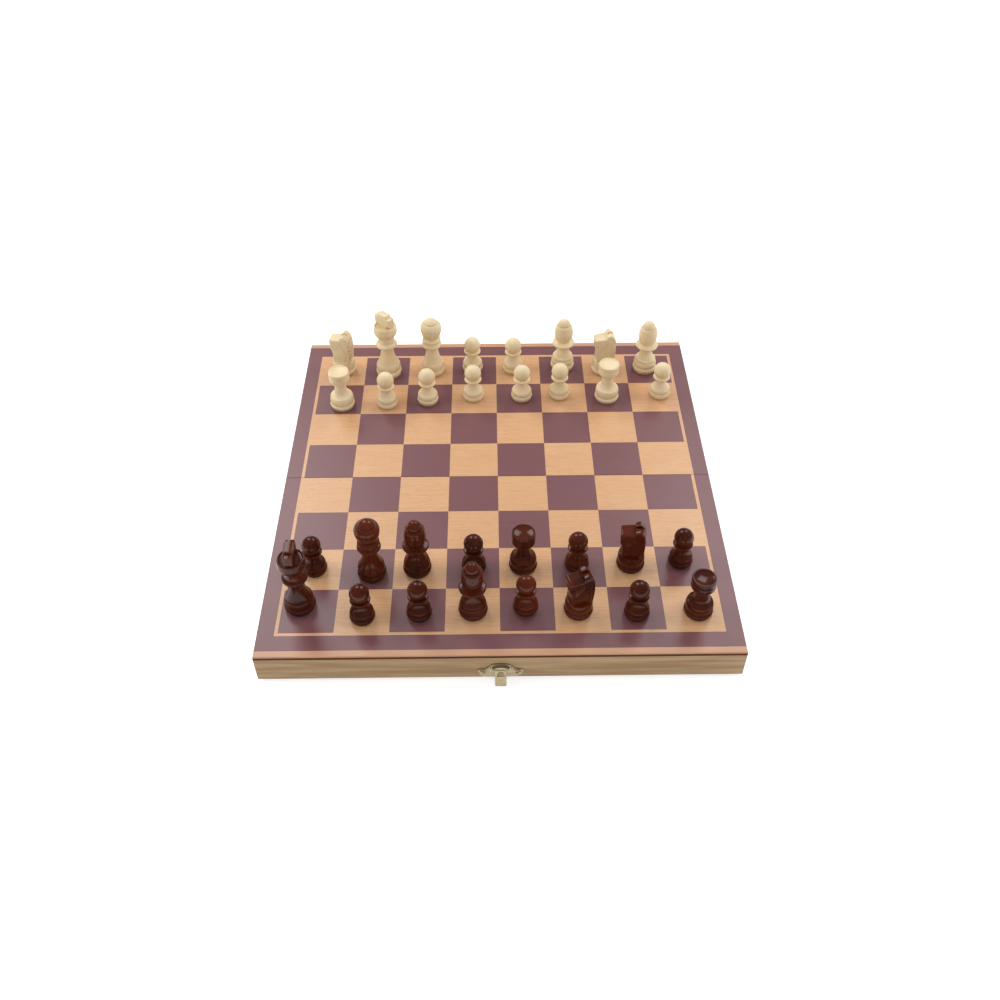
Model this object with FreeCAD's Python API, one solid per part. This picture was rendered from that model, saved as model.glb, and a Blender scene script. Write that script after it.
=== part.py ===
import FreeCAD, Part
import math
import os

# A magnetic folding chess set: two hinged half boxes, a brass clasp and 32 chessmen.
# Millimetres. X runs to the right, Y away from the clasp, Z up. The origin lies on the table,
# under the middle of the fold line.

# Playing surface
square_size = 32.0
squares_along = 8
line_width = 2.0
side_border = 10.0
end_border = 10.6
end_strip = 4.4

# Half boxes
seam_gap = 0.4
panel_thickness = 2.6
panel_edge_round = 0.6
rail_height = 18.0
rail_thickness = 8.0
steel_thickness = 0.5
lining_thickness = 0.6
lining_clearance = 0.1
divider_thickness = 3.0
divider_setback = 1.0
compartments_along = 8

# Hinges
hinge_spacing = 150.0
hinge_length = 24.0
leaf_height = 9.0
leaf_thickness = 1.0
leaf_clearance = 0.1
knuckle_radius = 1.3
knuckle_gap = 0.2
knuckle_clearance = 0.25
hinge_pin_radius = 0.7
pin_clearance = 0.03
pin_head_radius = 1.0
pin_head_length = 0.5
rim_gap = 0.2

# Hinge screws
screw_spacing = 14.0
screw_rise = 5.2
screw_length = 6.0
screw_radius = 0.8
screw_head_radius = 1.5
screw_head_depth = 0.7
screw_slot_width = 0.4
screw_slot_depth = 0.3
hole_clearance = 0.05

# Clasp
clasp_plate_width = 26.0
clasp_plate_height = 12.2
clasp_plate_rise = 0.8
brass_thickness = 0.7
clasp_nail_spacing = 19.2
clasp_nail_rise = 3.4
hood_width = 12.4
hood_height = 2.6
hood_depth = 2.6
hood_gap = 0.3
hood_face_share = 0.72
tongue_width = 6.6
tongue_length = 10.7
tongue_corner = 0.9
tongue_barrel_radius = 0.9
tongue_side_gap = 0.15
tongue_back_gap = 0.2
tongue_window_width = 4.4
tongue_window_height = 3.0
tongue_window_drop = 1.2
tongue_lip_width = 4.6
tongue_lip_height = 0.7
tongue_lip_reach = 0.6
tongue_table_gap = 0.15
pivot_rise = 9.0
lug_width = 1.2
clasp_pin_radius = 0.45

# Catch on the far side
catch_plate_width = 20.0
catch_plate_height = 8.0
catch_plate_rise = 0.1
catch_nail_spacing = 14.0
catch_nail_rise = 4.6
catch_bead_length = 6.0
catch_bead_height = 0.6
catch_bead_depth = 0.6
catch_lip_gap = 0.1

# Clasp and catch nails
nail_radius = 0.5
nail_length = 5.0
nail_head_radius = 1.0
nail_head_height = 0.5

# Chessmen
king_base = 18.5
king_height = 52.0
queen_base = 17.5
queen_height = 46.0
bishop_base = 17.2
bishop_height = 41.5
knight_base = 17.2
knight_height = 33.4
rook_base = 17.2
rook_height = 30.0
pawn_base = 15.0
pawn_height = 27.3
cross_width = 14.0
cross_thickness = 5.4
cross_height = 9.6
cross_tenon = 1.0
horse_thickness = 10.4
horse_round_share = 0.93
ear_notch_width = 3.4
ear_notch_depth = 2.6
disc_thickness = 1.0
disc_inset = 0.5
magnet_radius = 4.0
magnet_height = 3.0
magnet_clearance = 0.1
standing_gap = 0.05

# Turned profiles: shares of the base radius and of the wooden height, from the axis at the bottom
# to the axis at the top. Two numbers end a straight run, four give an arc's middle and its end,
# and one gives the height where a dome or a dish centred on the axis meets it.
king_profile_shares = [
    (0, 0), (0.94, 0), (1, 0.032, 0.95, 0.064), (0.89, 0.072), (0.94, 0.12, 0.87, 0.17), (0.82, 0.178),
    (0.56, 0.3, 0.48, 0.45), (0.74, 0.47), (0.82, 0.495, 0.74, 0.52), (0.62, 0.535),
    (0.6, 0.63), (0.81, 0.67, 0.88, 0.76), (0.87, 0.79, 0.84, 0.805), (0.8, 0.812), (0.74, 0.812),
    (0.7, 0.8), (0, 0.8),
]
queen_profile_shares = [
    (0, 0), (0.94, 0), (1, 0.035, 0.95, 0.07), (0.89, 0.078), (0.94, 0.135, 0.87, 0.19), (0.82, 0.198),
    (0.56, 0.33, 0.48, 0.48), (0.74, 0.5), (0.82, 0.523, 0.74, 0.546), (0.56, 0.562),
    (0.54, 0.62), (0.6, 0.665), (0.76, 0.745, 0.81, 0.85), (0.74, 0.9, 0.46, 0.918), (0.42, 0.922),
    (1,),
]
bishop_profile_shares = [
    (0, 0), (0.94, 0), (1, 0.035, 0.95, 0.07), (0.89, 0.08), (0.94, 0.13, 0.88, 0.18), (0.83, 0.187),
    (0.85, 0.214, 0.79, 0.24), (0.74, 0.248), (0.54, 0.33, 0.45, 0.46), (0.84, 0.485),
    (0.93, 0.51, 0.84, 0.535), (0.56, 0.55),
    (0.62, 0.575), (0.79, 0.72, 0.74, 0.85), (0.66, 0.895, 0.47, 0.905), (0.43, 0.908), (1,),
]
rook_profile_shares = [
    (0, 0), (0.94, 0), (1, 0.04, 0.95, 0.08), (0.89, 0.09), (0.95, 0.19, 0.88, 0.29), (0.82, 0.3),
    (0.62, 0.345, 0.5, 0.43), (0.45, 0.6), (0.54, 0.625), (0.57, 0.645, 0.54, 0.665), (0.5, 0.685),
    (0.8, 0.735), (0.835, 0.76), (0.835, 0.97), (0.8, 1), (0.7, 1), (0.66, 0.98),
    (0.97,),
]
pawn_profile_shares = [
    (0, 0), (0.94, 0), (1, 0.05, 0.95, 0.1), (0.88, 0.11), (0.94, 0.175, 0.87, 0.24), (0.82, 0.25),
    (0.62, 0.32, 0.48, 0.42), (0.44, 0.54), (0.72, 0.555), (0.8, 0.58, 0.72, 0.605), (0.54, 0.615),
    (1,),
]
knight_foot_shares = [
    (0, 0), (0.94, 0), (1, 0.04, 0.95, 0.08), (0.89, 0.09), (0.95, 0.19, 0.85, 0.31), (0, 0.31),
]

# Flat outlines in the same form. The horse's nose points along the first axis.
horse_outline_shares = [
    (-0.74, 0.27), (-0.86, 0.58, -0.8, 0.86), (-0.7, 0.93), (-0.4, 1), (-0.12, 0.97), (0, 0.9),
    (0.76, 0.88), (0.86, 0.87, 0.88, 0.82), (0.88, 0.68), (0.84, 0.63), (0.74, 0.6),
    (0.69, 0.46, 0.72, 0.34), (0.74, 0.27),
]
cross_outline_shares = [
    (0, 0), (0.52, 0), (0.42, 0.3), (1, 0.22), (1, 0.7), (0.42, 0.62), (0.52, 1), (0, 1),
]
wing_outline_shares = [
    (0, 0), (0.66, 0), (0.865, 0.105, 0.95, 0.36), (1, 0.47, 0.94, 0.58), (0.66, 0.66, 0.46, 0.88),
    (0.24, 0.98, 0, 1),
]

# Places of the chessmen: files from the left and ranks from the clasp edge, in shares of a square,
# and the turn of the man about its own axis in degrees.
dark_places_shares = {
    "king": [(0.34, 0.63, 90)],
    "queen": [(1.6, 1.39, 0)],
    "bishop": [(2.45, 1.49, 0), (3.51, 0.47, 0)],
    "knight": [(5.43, 0.46, 196), (6.49, 1.56, 172)],
    "rook": [(4.45, 1.54, 0), (7.62, 0.42, 0)],
    "pawn": [
        (0.51, 1.51, 0), (1.5, 0.35, 0), (2.53, 0.41, 0), (3.52, 1.52, 0),
        (4.47, 0.52, 0), (5.47, 1.55, 0), (6.49, 0.37, 0), (7.45, 1.62, 0),
    ],
}
light_places_shares = {
    "king": [(1.54, 7.46, 140)],
    "queen": [(2.55, 7.51, 0)],
    "bishop": [(5.53, 7.65, 0), (7.42, 7.54, 0)],
    "knight": [(0.51, 7.55, 168), (6.46, 7.5, 186)],
    "rook": [(0.58, 6.33, 0), (6.46, 6.51, 0)],
    "pawn": [
        (1.57, 6.34, 0), (2.47, 6.45, 0), (3.48, 6.56, 0), (3.46, 7.58, 0),
        (4.39, 7.54, 0), (4.56, 6.55, 0), (5.4, 6.6, 0), (7.66, 6.6, 0),
    ],
}

# How far a cutting shape runs past what it cuts
overrun = 1.0

# Worked-out sizes
field = squares_along * square_size
half_width = field / 2 + line_width + side_border
half_depth = field / 2 + line_width + end_border + end_strip
seam_face = -seam_gap / 2
fold_height = knuckle_radius
rim_height = fold_height + rim_gap / 2
panel_bottom = rim_height + rail_height
panel_top = panel_bottom + panel_thickness
inside_front = -half_depth + rail_thickness
inside_back = seam_face - rail_thickness
inside_side = half_width - rail_thickness
lining_top = panel_bottom - steel_thickness
lining_bottom = lining_top - lining_thickness
pivot_out = brass_thickness + tongue_barrel_radius + tongue_back_gap
pivot_height = rim_height + pivot_rise
knuckle_length = (hinge_length - 2 * knuckle_gap) / 3

along_x = FreeCAD.Vector(1, 0, 0)
along_y = FreeCAD.Vector(0, 1, 0)
along_z = FreeCAD.Vector(0, 0, 1)
origin = FreeCAD.Vector(0, 0, 0)


# Small helpers
def point(x, y, z):
    return FreeCAD.Vector(x, y, z)


def block(x_range, y_range, z_range):
    low = point(x_range[0], y_range[0], z_range[0])
    size = [span[1] - span[0] for span in (x_range, y_range, z_range)]
    return Part.makeBox(size[0], size[1], size[2], low)


def rod(radius, start, end):
    path = end - start
    return Part.makeCylinder(radius, path.Length, start, path)


def rod_along_x(radius, x_range, y, z):
    return rod(radius, point(x_range[0], y, z), point(x_range[1], y, z))


def dome_middle(start, top):
    """The middle of an arc from a point to the axis, with its centre on the axis."""
    rise = top.z - start.z
    centre = top.z - (start.x ** 2 + rise ** 2) / (2 * rise)
    side = math.copysign(1, rise)
    angle = math.atan2(start.x, side * (start.z - centre)) / 2
    radius = abs(top.z - centre)
    return point(radius * math.sin(angle), 0, centre + side * radius * math.cos(angle))


def flat_face(shares, width, height):
    """A face in the XZ plane through points given as shares of a width and a height."""
    def corner(pair):
        return point(pair[0] * width, 0, pair[1] * height)

    edges = []
    here = corner(shares[0])
    for step in shares[1:]:
        end = corner(step[-2:]) if len(step) > 1 else corner((0, step[0]))
        if len(step) == 1:
            edges.append(Part.Arc(here, dome_middle(here, end), end).toShape())
        elif len(step) == 4:
            edges.append(Part.Arc(here, corner(step[:2]), end).toShape())
        else:
            edges.append(Part.LineSegment(here, end).toShape())
        here = end
    edges.append(Part.LineSegment(here, corner(shares[0])).toShape())
    return Part.Face(Part.Wire(edges))


def both_sides(half):
    return half.fuse(half.mirror(origin, along_x)).removeSplitter()


def to_rear(shape):
    return shape.mirror(origin, along_y)


def export(name, solids):
    solids = [solid for shape in solids for solid in shape.Solids]
    shape = solids[0] if len(solids) == 1 else Part.makeCompound(solids)
    shape.exportStep("parts/" + name + ".step")


# Half boxes, each made as the front half and mirrored for the rear half
def playing_panel():
    panel = block((-half_width, half_width), (-half_depth, seam_face), (panel_bottom, panel_top))
    edges = []
    for edge in panel.Edges:
        middle = edge.CenterOfMass
        on_top = abs(middle.z - panel_top) < panel_edge_round
        at_seam = abs(middle.y - seam_face) < panel_edge_round
        if on_top and not at_seam:
            edges.append(edge)
    return panel.makeFillet(panel_edge_round, edges)


def inside_sheet(bottom, top):
    across = inside_side - lining_clearance
    near = inside_front + lining_clearance
    far = inside_back - lining_clearance
    return block((-across, across), (near, far), (bottom, top))


def end_rail(nail_places):
    rail = block((-half_width, half_width), (-half_depth, inside_front), (rim_height, panel_bottom))
    for x, z in nail_places:
        depth = nail_length + hole_clearance
        start = point(x, -half_depth - overrun, z)
        rail = rail.cut(rod(nail_radius + hole_clearance, start, point(x, -half_depth + depth, z)))
    return rail


def hinge_rail():
    rail = block((-half_width, half_width), (inside_back, seam_face), (rim_height, panel_bottom))
    reach = hinge_length / 2 + leaf_clearance
    relief = hinge_length / 2 + pin_head_length + knuckle_clearance
    for x in hinge_places():
        mortise_back = seam_face - leaf_thickness
        mortise_top = rim_height + leaf_height + leaf_clearance
        rail = rail.cut(block(
            (x - reach, x + reach),
            (mortise_back, seam_face + overrun),
            (rim_height - overrun, mortise_top),
        ))
        relief_radius = knuckle_radius + knuckle_clearance
        rail = rail.cut(rod_along_x(relief_radius, (x - relief, x + relief), 0, fold_height))
        for screw_x in screw_places(x):
            start = point(screw_x, seam_face, screw_height())
            end = start - along_y * (screw_length + hole_clearance)
            rail = rail.cut(rod(screw_radius + hole_clearance, start, end))
    return rail


def left_rail():
    outer = -half_width
    return block((outer, -inside_side), (inside_front, inside_back), (rim_height, panel_bottom))


def tray_dividers():
    """A spine along the half box and cross bars on both sides of it."""
    heights = (rim_height + divider_setback, lining_bottom)
    middle = (inside_front + inside_back) / 2
    spine = (middle - divider_thickness / 2, middle + divider_thickness / 2)
    bars = [block((-inside_side, inside_side), spine, heights)]
    cell = 2 * inside_side / compartments_along
    for number in range(1, compartments_along):
        x = -inside_side + number * cell
        across = (x - divider_thickness / 2, x + divider_thickness / 2)
        bars.append(block(across, (inside_front, spine[0]), heights))
        bars.append(block(across, (spine[1], inside_back), heights))
    return bars


# Hinges
def hinge_places():
    return (-hinge_spacing / 2, hinge_spacing / 2)


def screw_places(x):
    return (x - screw_spacing / 2, x + screw_spacing / 2)


def screw_height():
    return rim_height + screw_rise


def countersunk(x, clearance, length):
    """A countersunk screw driven towards the front from the seam face, or the hole that it needs."""
    start = point(x, seam_face, screw_height())
    head = Part.makeCone(
        screw_head_radius + clearance, screw_radius + clearance, screw_head_depth, start, -along_y
    )
    shank = Part.makeCylinder(screw_radius + clearance, length, start, -along_y)
    return head.fuse(shank).removeSplitter()


def hinge_screw(x):
    screw = countersunk(x, 0, screw_length)
    z = screw_height()
    slot = block(
        (x - screw_head_radius, x + screw_head_radius),
        (seam_face - screw_slot_depth, seam_face + overrun),
        (z - screw_slot_width / 2, z + screw_slot_width / 2),
    )
    return screw.cut(slot)


def hinge_leaf(x, own_knuckles, other_knuckles):
    """A leaf on the front side of the fold, with its knuckles and room for the other leaf's."""
    leaf = block(
        (x - hinge_length / 2, x + hinge_length / 2),
        (seam_face - leaf_thickness, seam_face),
        (fold_height, rim_height + leaf_height),
    )
    for low, high in other_knuckles:
        room = rod_along_x(knuckle_radius + knuckle_gap, (x + low, x + high), 0, fold_height)
        leaf = leaf.cut(room)
    for low, high in own_knuckles:
        leaf = leaf.fuse(rod_along_x(knuckle_radius, (x + low, x + high), 0, fold_height))
    bore = (x - hinge_length, x + hinge_length)
    leaf = leaf.cut(rod_along_x(hinge_pin_radius + pin_clearance, bore, 0, fold_height))
    for screw_x in screw_places(x):
        leaf = leaf.cut(countersunk(screw_x, hole_clearance, screw_length))
    return leaf.removeSplitter()


def front_leaf(x):
    end = hinge_length / 2
    inner = knuckle_length / 2 + knuckle_gap
    return hinge_leaf(x, [(-end, -inner), (inner, end)], [(-inner, inner)])


def rear_leaf(x):
    end = hinge_length / 2 + overrun
    inner = knuckle_length / 2
    return to_rear(hinge_leaf(x, [(-inner, inner)], [(-end, -inner), (inner, end)]))


def hinge_pin(x):
    end = hinge_length / 2
    pin = rod_along_x(hinge_pin_radius, (x - end, x + end), 0, fold_height)
    for low, high in ((-end - pin_head_length, -end), (end, end + pin_head_length)):
        pin = pin.fuse(rod_along_x(pin_head_radius, (x + low, x + high), 0, fold_height))
    return pin.removeSplitter()


# Clasp on the front rail
def winged_plate(width, height, bottom):
    face = flat_face(wing_outline_shares, width / 2, height)
    plate = both_sides(face.extrude(-along_y * brass_thickness))
    return plate.translated(point(0, -half_depth, bottom))


def nail(x, z, face):
    """A nail with a tapered head, through a plate whose outer face is at the given Y."""
    head = Part.makeCone(nail_head_radius, nail_radius, nail_head_height, point(x, face, z), -along_y)
    seat = -half_depth + nail_length
    return head.fuse(rod(nail_radius, point(x, face, z), point(x, seat, z))).removeSplitter()


def nail_hole(x, z):
    start = point(x, -half_depth - brass_thickness - overrun, z)
    return rod(nail_radius + hole_clearance, start, point(x, -half_depth + overrun, z))


def clasp_nail_places():
    z = rim_height + clasp_plate_rise + clasp_nail_rise
    return ((-clasp_nail_spacing / 2, z), (clasp_nail_spacing / 2, z))


def catch_nail_places():
    z = rim_height + catch_plate_rise + catch_nail_rise
    return ((-catch_nail_spacing / 2, z), (catch_nail_spacing / 2, z))


def hood():
    """An arched boss over the pivot, bevelled towards its front face."""
    bottom = pivot_height + tongue_barrel_radius + hood_gap

    def arch(out, share):
        left = point(-hood_width / 2 * share, -half_depth - out, bottom)
        top = point(0, -half_depth - out, bottom + hood_height * share)
        right = point(hood_width / 2 * share, -half_depth - out, bottom)
        return Part.Wire([Part.Arc(left, top, right).toShape(), Part.makeLine(right, left)])

    return Part.makeLoft([arch(0, 1), arch(hood_depth, hood_face_share)], True, True)


def lug_range():
    start = tongue_width / 2 + tongue_side_gap
    return (start, start + lug_width)


def clasp_plate():
    plate = winged_plate(clasp_plate_width, clasp_plate_height, rim_height + clasp_plate_rise)
    plate = plate.fuse(hood())
    low, high = lug_range()
    pivot = -half_depth - pivot_out
    for lug in ((low, high), (-high, -low)):
        eye = rod_along_x(tongue_barrel_radius, lug, pivot, pivot_height)
        web = block(
            lug,
            (pivot, -half_depth),
            (pivot_height - tongue_barrel_radius, pivot_height + tongue_barrel_radius),
        )
        plate = plate.fuse(eye.fuse(web))
    bore = rod_along_x(clasp_pin_radius + pin_clearance, (-clasp_plate_width, clasp_plate_width),
                       pivot, pivot_height)
    plate = plate.cut(bore)
    for x, z in clasp_nail_places():
        plate = plate.cut(nail_hole(x, z))
    return plate.removeSplitter()


def clasp_pin():
    end = lug_range()[1]
    return rod_along_x(clasp_pin_radius, (-end, end), -half_depth - pivot_out, pivot_height)


def tongue_rest_angle():
    """How far the tongue leans out in degrees, so that its lip stands just clear of the table."""
    reach = brass_thickness / 2 + tongue_lip_reach
    radius = math.hypot(tongue_length, reach)
    drop = pivot_height - tongue_table_gap
    return math.degrees(math.atan2(reach, tongue_length) + math.acos(drop / radius))


def clasp_tongue():
    """Made hanging straight down with its pivot at the origin, then leaned out and set in place."""
    half = tongue_width / 2
    out = (-brass_thickness / 2, brass_thickness / 2)
    corner_height = tongue_corner - tongue_length
    corner_place = half - tongue_corner
    strip = block((-half, half), out, (corner_height, 0))
    tip = [block((-corner_place, corner_place), out, (-tongue_length, 0))]
    for x in (-corner_place, corner_place):
        tip.append(rod(tongue_corner, point(x, out[0], corner_height), point(x, out[1], corner_height)))
    barrel = rod_along_x(tongue_barrel_radius, (-half, half), 0, 0)
    lip_half = tongue_lip_width / 2
    lip = block(
        (-lip_half, lip_half),
        (0, out[1] + tongue_lip_reach),
        (-tongue_length, tongue_lip_height - tongue_length),
    )
    window_half = tongue_window_width / 2
    window_top = -tongue_window_drop
    window_bottom = window_top - tongue_window_height
    left = point(-window_half, out[0] - overrun, window_bottom)
    top = point(0, out[0] - overrun, window_top)
    right = point(window_half, out[0] - overrun, window_bottom)
    edges = [Part.Arc(left, top, right).toShape(), Part.makeLine(right, left)]
    window = Part.Face(Part.Wire(edges)).extrude(along_y * (brass_thickness + 2 * overrun))
    tongue = strip.fuse(tip + [barrel, lip]).cut(window)
    bore = rod_along_x(clasp_pin_radius + pin_clearance, (-tongue_width, tongue_width), 0, 0)
    tongue = tongue.cut(bore).removeSplitter()
    tongue.rotate(origin, along_x, -tongue_rest_angle())
    return tongue.translated(point(0, -half_depth - pivot_out, pivot_height))


def catch_plate():
    """A plate with a bead that the tongue's lip hooks behind, made in front and mirrored to the rear."""
    plate = winged_plate(catch_plate_width, catch_plate_height, rim_height + catch_plate_rise)
    bead_top = 2 * fold_height - (pivot_height - tongue_length + tongue_lip_height + catch_lip_gap)
    bead = block(
        (-catch_bead_length / 2, catch_bead_length / 2),
        (-half_depth - brass_thickness - catch_bead_depth, -half_depth),
        (bead_top - catch_bead_height, bead_top),
    )
    plate = plate.fuse(bead)
    for x, z in catch_nail_places():
        plate = plate.cut(nail_hole(x, z))
    return to_rear(plate.removeSplitter())


# Chessmen, each made on its felt disc at the origin
def turned(shares, base, height):
    face = flat_face(shares, base / 2, height - disc_thickness)
    return face.revolve(origin, along_z, 360).translated(point(0, 0, disc_thickness))


def king_body():
    body = turned(king_profile_shares, king_base, king_height)
    face = flat_face(cross_outline_shares, cross_width / 2, cross_height + cross_tenon)
    cross = both_sides(face.extrude(along_y * cross_thickness))
    bottom = king_height - cross_height - cross_tenon
    return body.fuse(cross.translated(point(0, -cross_thickness / 2, bottom)))


def queen_body():
    return turned(queen_profile_shares, queen_base, queen_height)


def bishop_body():
    return turned(bishop_profile_shares, bishop_base, bishop_height)


def knight_body():
    foot = turned(knight_foot_shares, knight_base, knight_height)
    wood = knight_height - disc_thickness
    face = flat_face(horse_outline_shares, knight_base / 2, wood)
    head = face.extrude(along_y * horse_thickness)
    head = head.translated(point(0, -horse_thickness / 2, disc_thickness))
    round_blank = Part.makeCylinder(horse_round_share * knight_base / 2, knight_height)
    head = head.common(round_blank)
    corners = [
        point(-knight_base, -ear_notch_width / 2, knight_height + overrun),
        point(-knight_base, 0, knight_height - ear_notch_depth),
        point(-knight_base, ear_notch_width / 2, knight_height + overrun),
    ]
    notch = Part.Face(Part.makePolygon(corners + corners[:1])).extrude(along_x * 2 * knight_base)
    return foot.fuse(head.cut(notch))


def rook_body():
    return turned(rook_profile_shares, rook_base, rook_height)


def pawn_body():
    return turned(pawn_profile_shares, pawn_base, pawn_height)


def chessman(body, base):
    """The wooden body with its bore, the magnet in the bore and the felt disc under both."""
    top = disc_thickness + magnet_height
    bore = Part.makeCylinder(magnet_radius + magnet_clearance, top + magnet_clearance)
    magnet = Part.makeCylinder(magnet_radius, magnet_height, point(0, 0, disc_thickness))
    felt = Part.makeCylinder(base / 2 - disc_inset, disc_thickness)
    return [body.cut(bore).removeSplitter(), magnet, felt]


def stand(solids, file, rank, turn):
    placed = []
    for solid in solids:
        copy = solid.copy()
        copy.rotate(origin, along_z, turn)
        x = file * square_size - field / 2
        y = rank * square_size - field / 2
        placed.append(copy.translated(point(x, y, panel_top + standing_gap)))
    return placed


def export_chessmen(colour, men, places_shares):
    for kind, places in places_shares.items():
        for number, (file, rank, turn) in enumerate(places, 1):
            name = colour + "_" + kind
            if len(places) > 1:
                name += "_" + str(number)
            export(name, stand(men[kind], file, rank, turn))


def export_half(name, end_name, nail_places, place):
    export(name + "_playing_panel", [place(playing_panel())])
    export(name + "_steel_sheet", [place(inside_sheet(lining_top, panel_bottom))])
    export(name + "_felt_lining", [place(inside_sheet(lining_bottom, lining_top))])
    export(name + "_" + end_name + "_rail", [place(end_rail(nail_places))])
    export(name + "_hinge_rail", [place(hinge_rail())])
    export(name + "_left_rail", [place(left_rail())])
    export(name + "_right_rail", [place(left_rail().mirror(origin, along_x))])
    export(name + "_tray_dividers", [place(bar) for bar in tray_dividers()])
    screws = [hinge_screw(x) for hinge in hinge_places() for x in screw_places(hinge)]
    export("hinge_" + name + "_screws", [place(screw) for screw in screws])


def main():
    os.makedirs("parts", exist_ok=True)
    export_half("front", "clasp", clasp_nail_places(), lambda shape: shape)
    export_half("rear", "catch", catch_nail_places(), to_rear)
    export("hinge_front_leaves", [front_leaf(x) for x in hinge_places()])
    export("hinge_rear_leaves", [rear_leaf(x) for x in hinge_places()])
    export("hinge_pins", [hinge_pin(x) for x in hinge_places()])
    plate_face = -half_depth - brass_thickness
    export("clasp_plate", [clasp_plate()])
    export("clasp_pin", [clasp_pin()])
    export("clasp_nails", [nail(x, z, plate_face) for x, z in clasp_nail_places()])
    export("clasp_tongue", [clasp_tongue()])
    export("catch_plate", [catch_plate()])
    export("catch_nails", [to_rear(nail(x, z, plate_face)) for x, z in catch_nail_places()])
    men = {
        "king": chessman(king_body(), king_base),
        "queen": chessman(queen_body(), queen_base),
        "bishop": chessman(bishop_body(), bishop_base),
        "knight": chessman(knight_body(), knight_base),
        "rook": chessman(rook_body(), rook_base),
        "pawn": chessman(pawn_body(), pawn_base),
    }
    export_chessmen("dark", men, dark_places_shares)
    export_chessmen("light", men, light_places_shares)


main()
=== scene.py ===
import math

import bmesh
import bpy
from mathutils import Matrix, Vector


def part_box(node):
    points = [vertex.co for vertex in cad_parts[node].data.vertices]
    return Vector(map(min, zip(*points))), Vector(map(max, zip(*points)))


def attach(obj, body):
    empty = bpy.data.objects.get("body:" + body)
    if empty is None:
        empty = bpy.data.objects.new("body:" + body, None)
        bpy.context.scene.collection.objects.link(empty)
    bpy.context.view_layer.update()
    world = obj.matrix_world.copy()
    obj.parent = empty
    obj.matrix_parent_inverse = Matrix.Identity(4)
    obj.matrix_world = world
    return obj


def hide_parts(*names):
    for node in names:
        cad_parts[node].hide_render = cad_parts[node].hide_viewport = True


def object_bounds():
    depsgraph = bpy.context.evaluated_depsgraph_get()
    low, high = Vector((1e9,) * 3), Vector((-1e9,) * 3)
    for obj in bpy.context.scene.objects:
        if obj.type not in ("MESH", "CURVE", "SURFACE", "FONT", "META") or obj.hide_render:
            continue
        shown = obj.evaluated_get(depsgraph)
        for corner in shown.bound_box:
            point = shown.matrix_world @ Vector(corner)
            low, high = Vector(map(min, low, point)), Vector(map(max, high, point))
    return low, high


# The dressed chess set: printed panels, pine rails, turned and carved men, felt and brass.
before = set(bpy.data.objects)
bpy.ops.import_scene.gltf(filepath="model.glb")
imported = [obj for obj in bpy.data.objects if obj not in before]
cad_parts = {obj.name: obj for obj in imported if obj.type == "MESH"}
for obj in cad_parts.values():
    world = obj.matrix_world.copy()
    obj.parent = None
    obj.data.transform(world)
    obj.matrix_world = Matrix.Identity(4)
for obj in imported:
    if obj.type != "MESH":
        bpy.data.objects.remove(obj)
cad_low, cad_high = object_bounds()
mm = 0.001

# The photograph's camera, measured from the middle of the playing surface
camera_place = Vector((-4.5, -489.8, 475.8)) * mm
camera_azimuth = math.radians(0.694)
camera_elevation = math.radians(45.499)
camera_roll = math.radians(-0.043)
camera_lens = 37.1
camera_sensor = 36.0

# Sizes of the print on the panels
square_size = 32.0 * mm
squares_along = 8
line_width = 2.0 * mm
end_strip = 4.4 * mm
veneer_edge = 0.7 * mm

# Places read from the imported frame
panel_low, panel_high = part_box("front_playing_panel")
half_width = panel_high.x
half_depth = -panel_low.y
panel_top = panel_high.z
field_half = squares_along * square_size / 2

# Softened edges and turning
rail_edge = 0.5 * mm
brass_edge = 0.12 * mm
turned_edge = 0.28 * mm
turning_steps = 72
arc_steps = 10
eased_steps = 3
rounded_steps = 2
groove_sides = 8
groove_steps = 14
dimple_steps = 3
ridge_steps = 3
felt_disc = 1.0 * mm
felt_disc_inset = 0.5 * mm
felt_disc_edge = 0.2 * mm
felt_cells = (66, 32)
packed_weld = 0.002 * mm
turned_weld = 0.001 * mm
flat_angle = math.radians(0.5)
rounded_angle = math.radians(40)
packed_smooth = math.radians(35)
made_smooth = math.radians(40)
ridge_smooth = math.radians(50)

# The turned men: shares of the base radius and of the wooden height, from the axis at the bottom
# to the axis at the top. Two numbers end a straight run, four give an arc's middle and its end,
# and one gives the height where a dome or a dish centred on the axis meets it.
king_shares = [
    (0, 0), (0.94, 0), (1, 0.032, 0.95, 0.064), (0.89, 0.072), (0.94, 0.12, 0.87, 0.17), (0.82, 0.178),
    (0.56, 0.3, 0.48, 0.45), (0.74, 0.47), (0.82, 0.495, 0.74, 0.52), (0.62, 0.535),
    (0.6, 0.63), (0.81, 0.67, 0.88, 0.76), (0.87, 0.79, 0.84, 0.805), (0.8, 0.812), (0.74, 0.812),
    (0.7, 0.8), (0, 0.8),
]
queen_shares = [
    (0, 0), (0.94, 0), (1, 0.035, 0.95, 0.07), (0.89, 0.078), (0.94, 0.135, 0.87, 0.19), (0.82, 0.198),
    (0.56, 0.33, 0.48, 0.48), (0.74, 0.5), (0.82, 0.523, 0.74, 0.546), (0.62, 0.556), (0.6, 0.578),
    (0.69, 0.59), (0.76, 0.614, 0.69, 0.638), (0.6, 0.65), (0.61, 0.668), (0.79, 0.745, 0.86, 0.83),
    (0.79, 0.895, 0.62, 0.932), (0.53, 0.926), (0.56, 0.945), (1,),
]
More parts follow.
